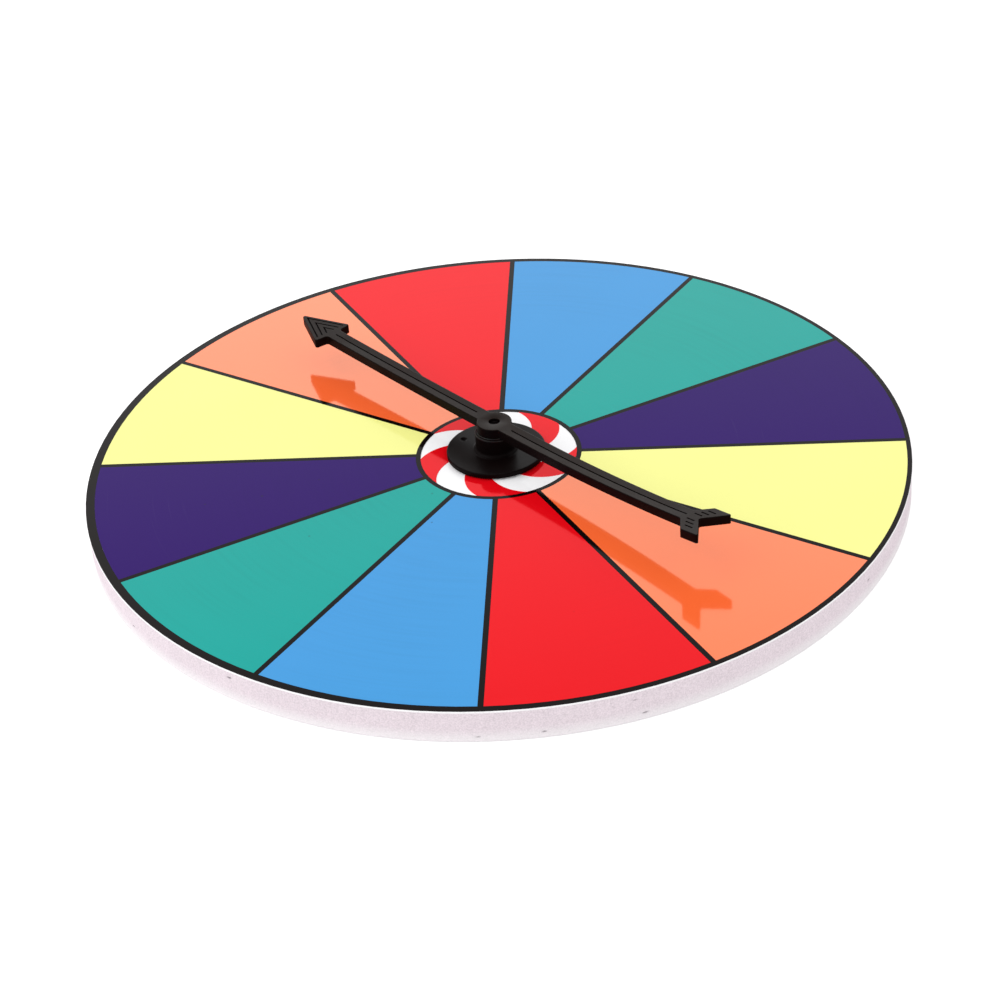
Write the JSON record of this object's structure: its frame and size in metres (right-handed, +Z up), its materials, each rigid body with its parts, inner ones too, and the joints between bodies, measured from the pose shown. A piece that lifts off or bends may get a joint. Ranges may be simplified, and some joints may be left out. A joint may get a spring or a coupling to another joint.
{
  "type": "carnival game wheel",
  "caption": "Round foam game board with coloured sectors and a candy swirl at the hub; a black arrow spins freely on a flanged post at its centre.",
  "frame": {"origin": "centre of the board's flat underside", "axes": "+Z up along the pointer's spin axis, +X along the printed line between a purple sector and the yellow sector on its clockwise side"},
  "size_m": [0.3048, 0.3048, 0.0327],
  "materials": {
    "foam": "matte",
    "white_sheet": "gloss",
    "black_print": "gloss",
    "red_print": "gloss",
    "orange_print": "gloss",
    "yellow_print": "gloss",
    "green_print": "gloss",
    "blue_print": "gloss",
    "purple_print": "gloss",
    "pad_foam": "matte",
    "base_plastic": "satin",
    "washer_plastic": "satin",
    "pointer_plastic": "satin",
    "zinc_steel": "satin"
  },
  "bodies": {
    "board": {"foam_board": "foam", "face_sheet": "white_sheet", "outline_ink": "black_print", "red_ink": "red_print", "orange_ink": "orange_print", "yellow_ink": "yellow_print", "green_ink": "green_print", "blue_ink": "blue_print", "purple_ink": "purple_print", "swirl_ink": "red_print", "adhesive_pad": "pad_foam", "spinner_base": "base_plastic", "thrust_washer": "washer_plastic", "back_washer": "zinc_steel", "fixing_screw": "zinc_steel"},
    "pointer": {"pointer": "pointer_plastic"}
  },
  "joints": [
    {"name": "pointer_spin", "type": "hinge", "parent": "board", "child": "pointer", "pos_m": [0, 0, 0.0231], "axis": [0, 0, 1], "continuous": true}
  ]
}
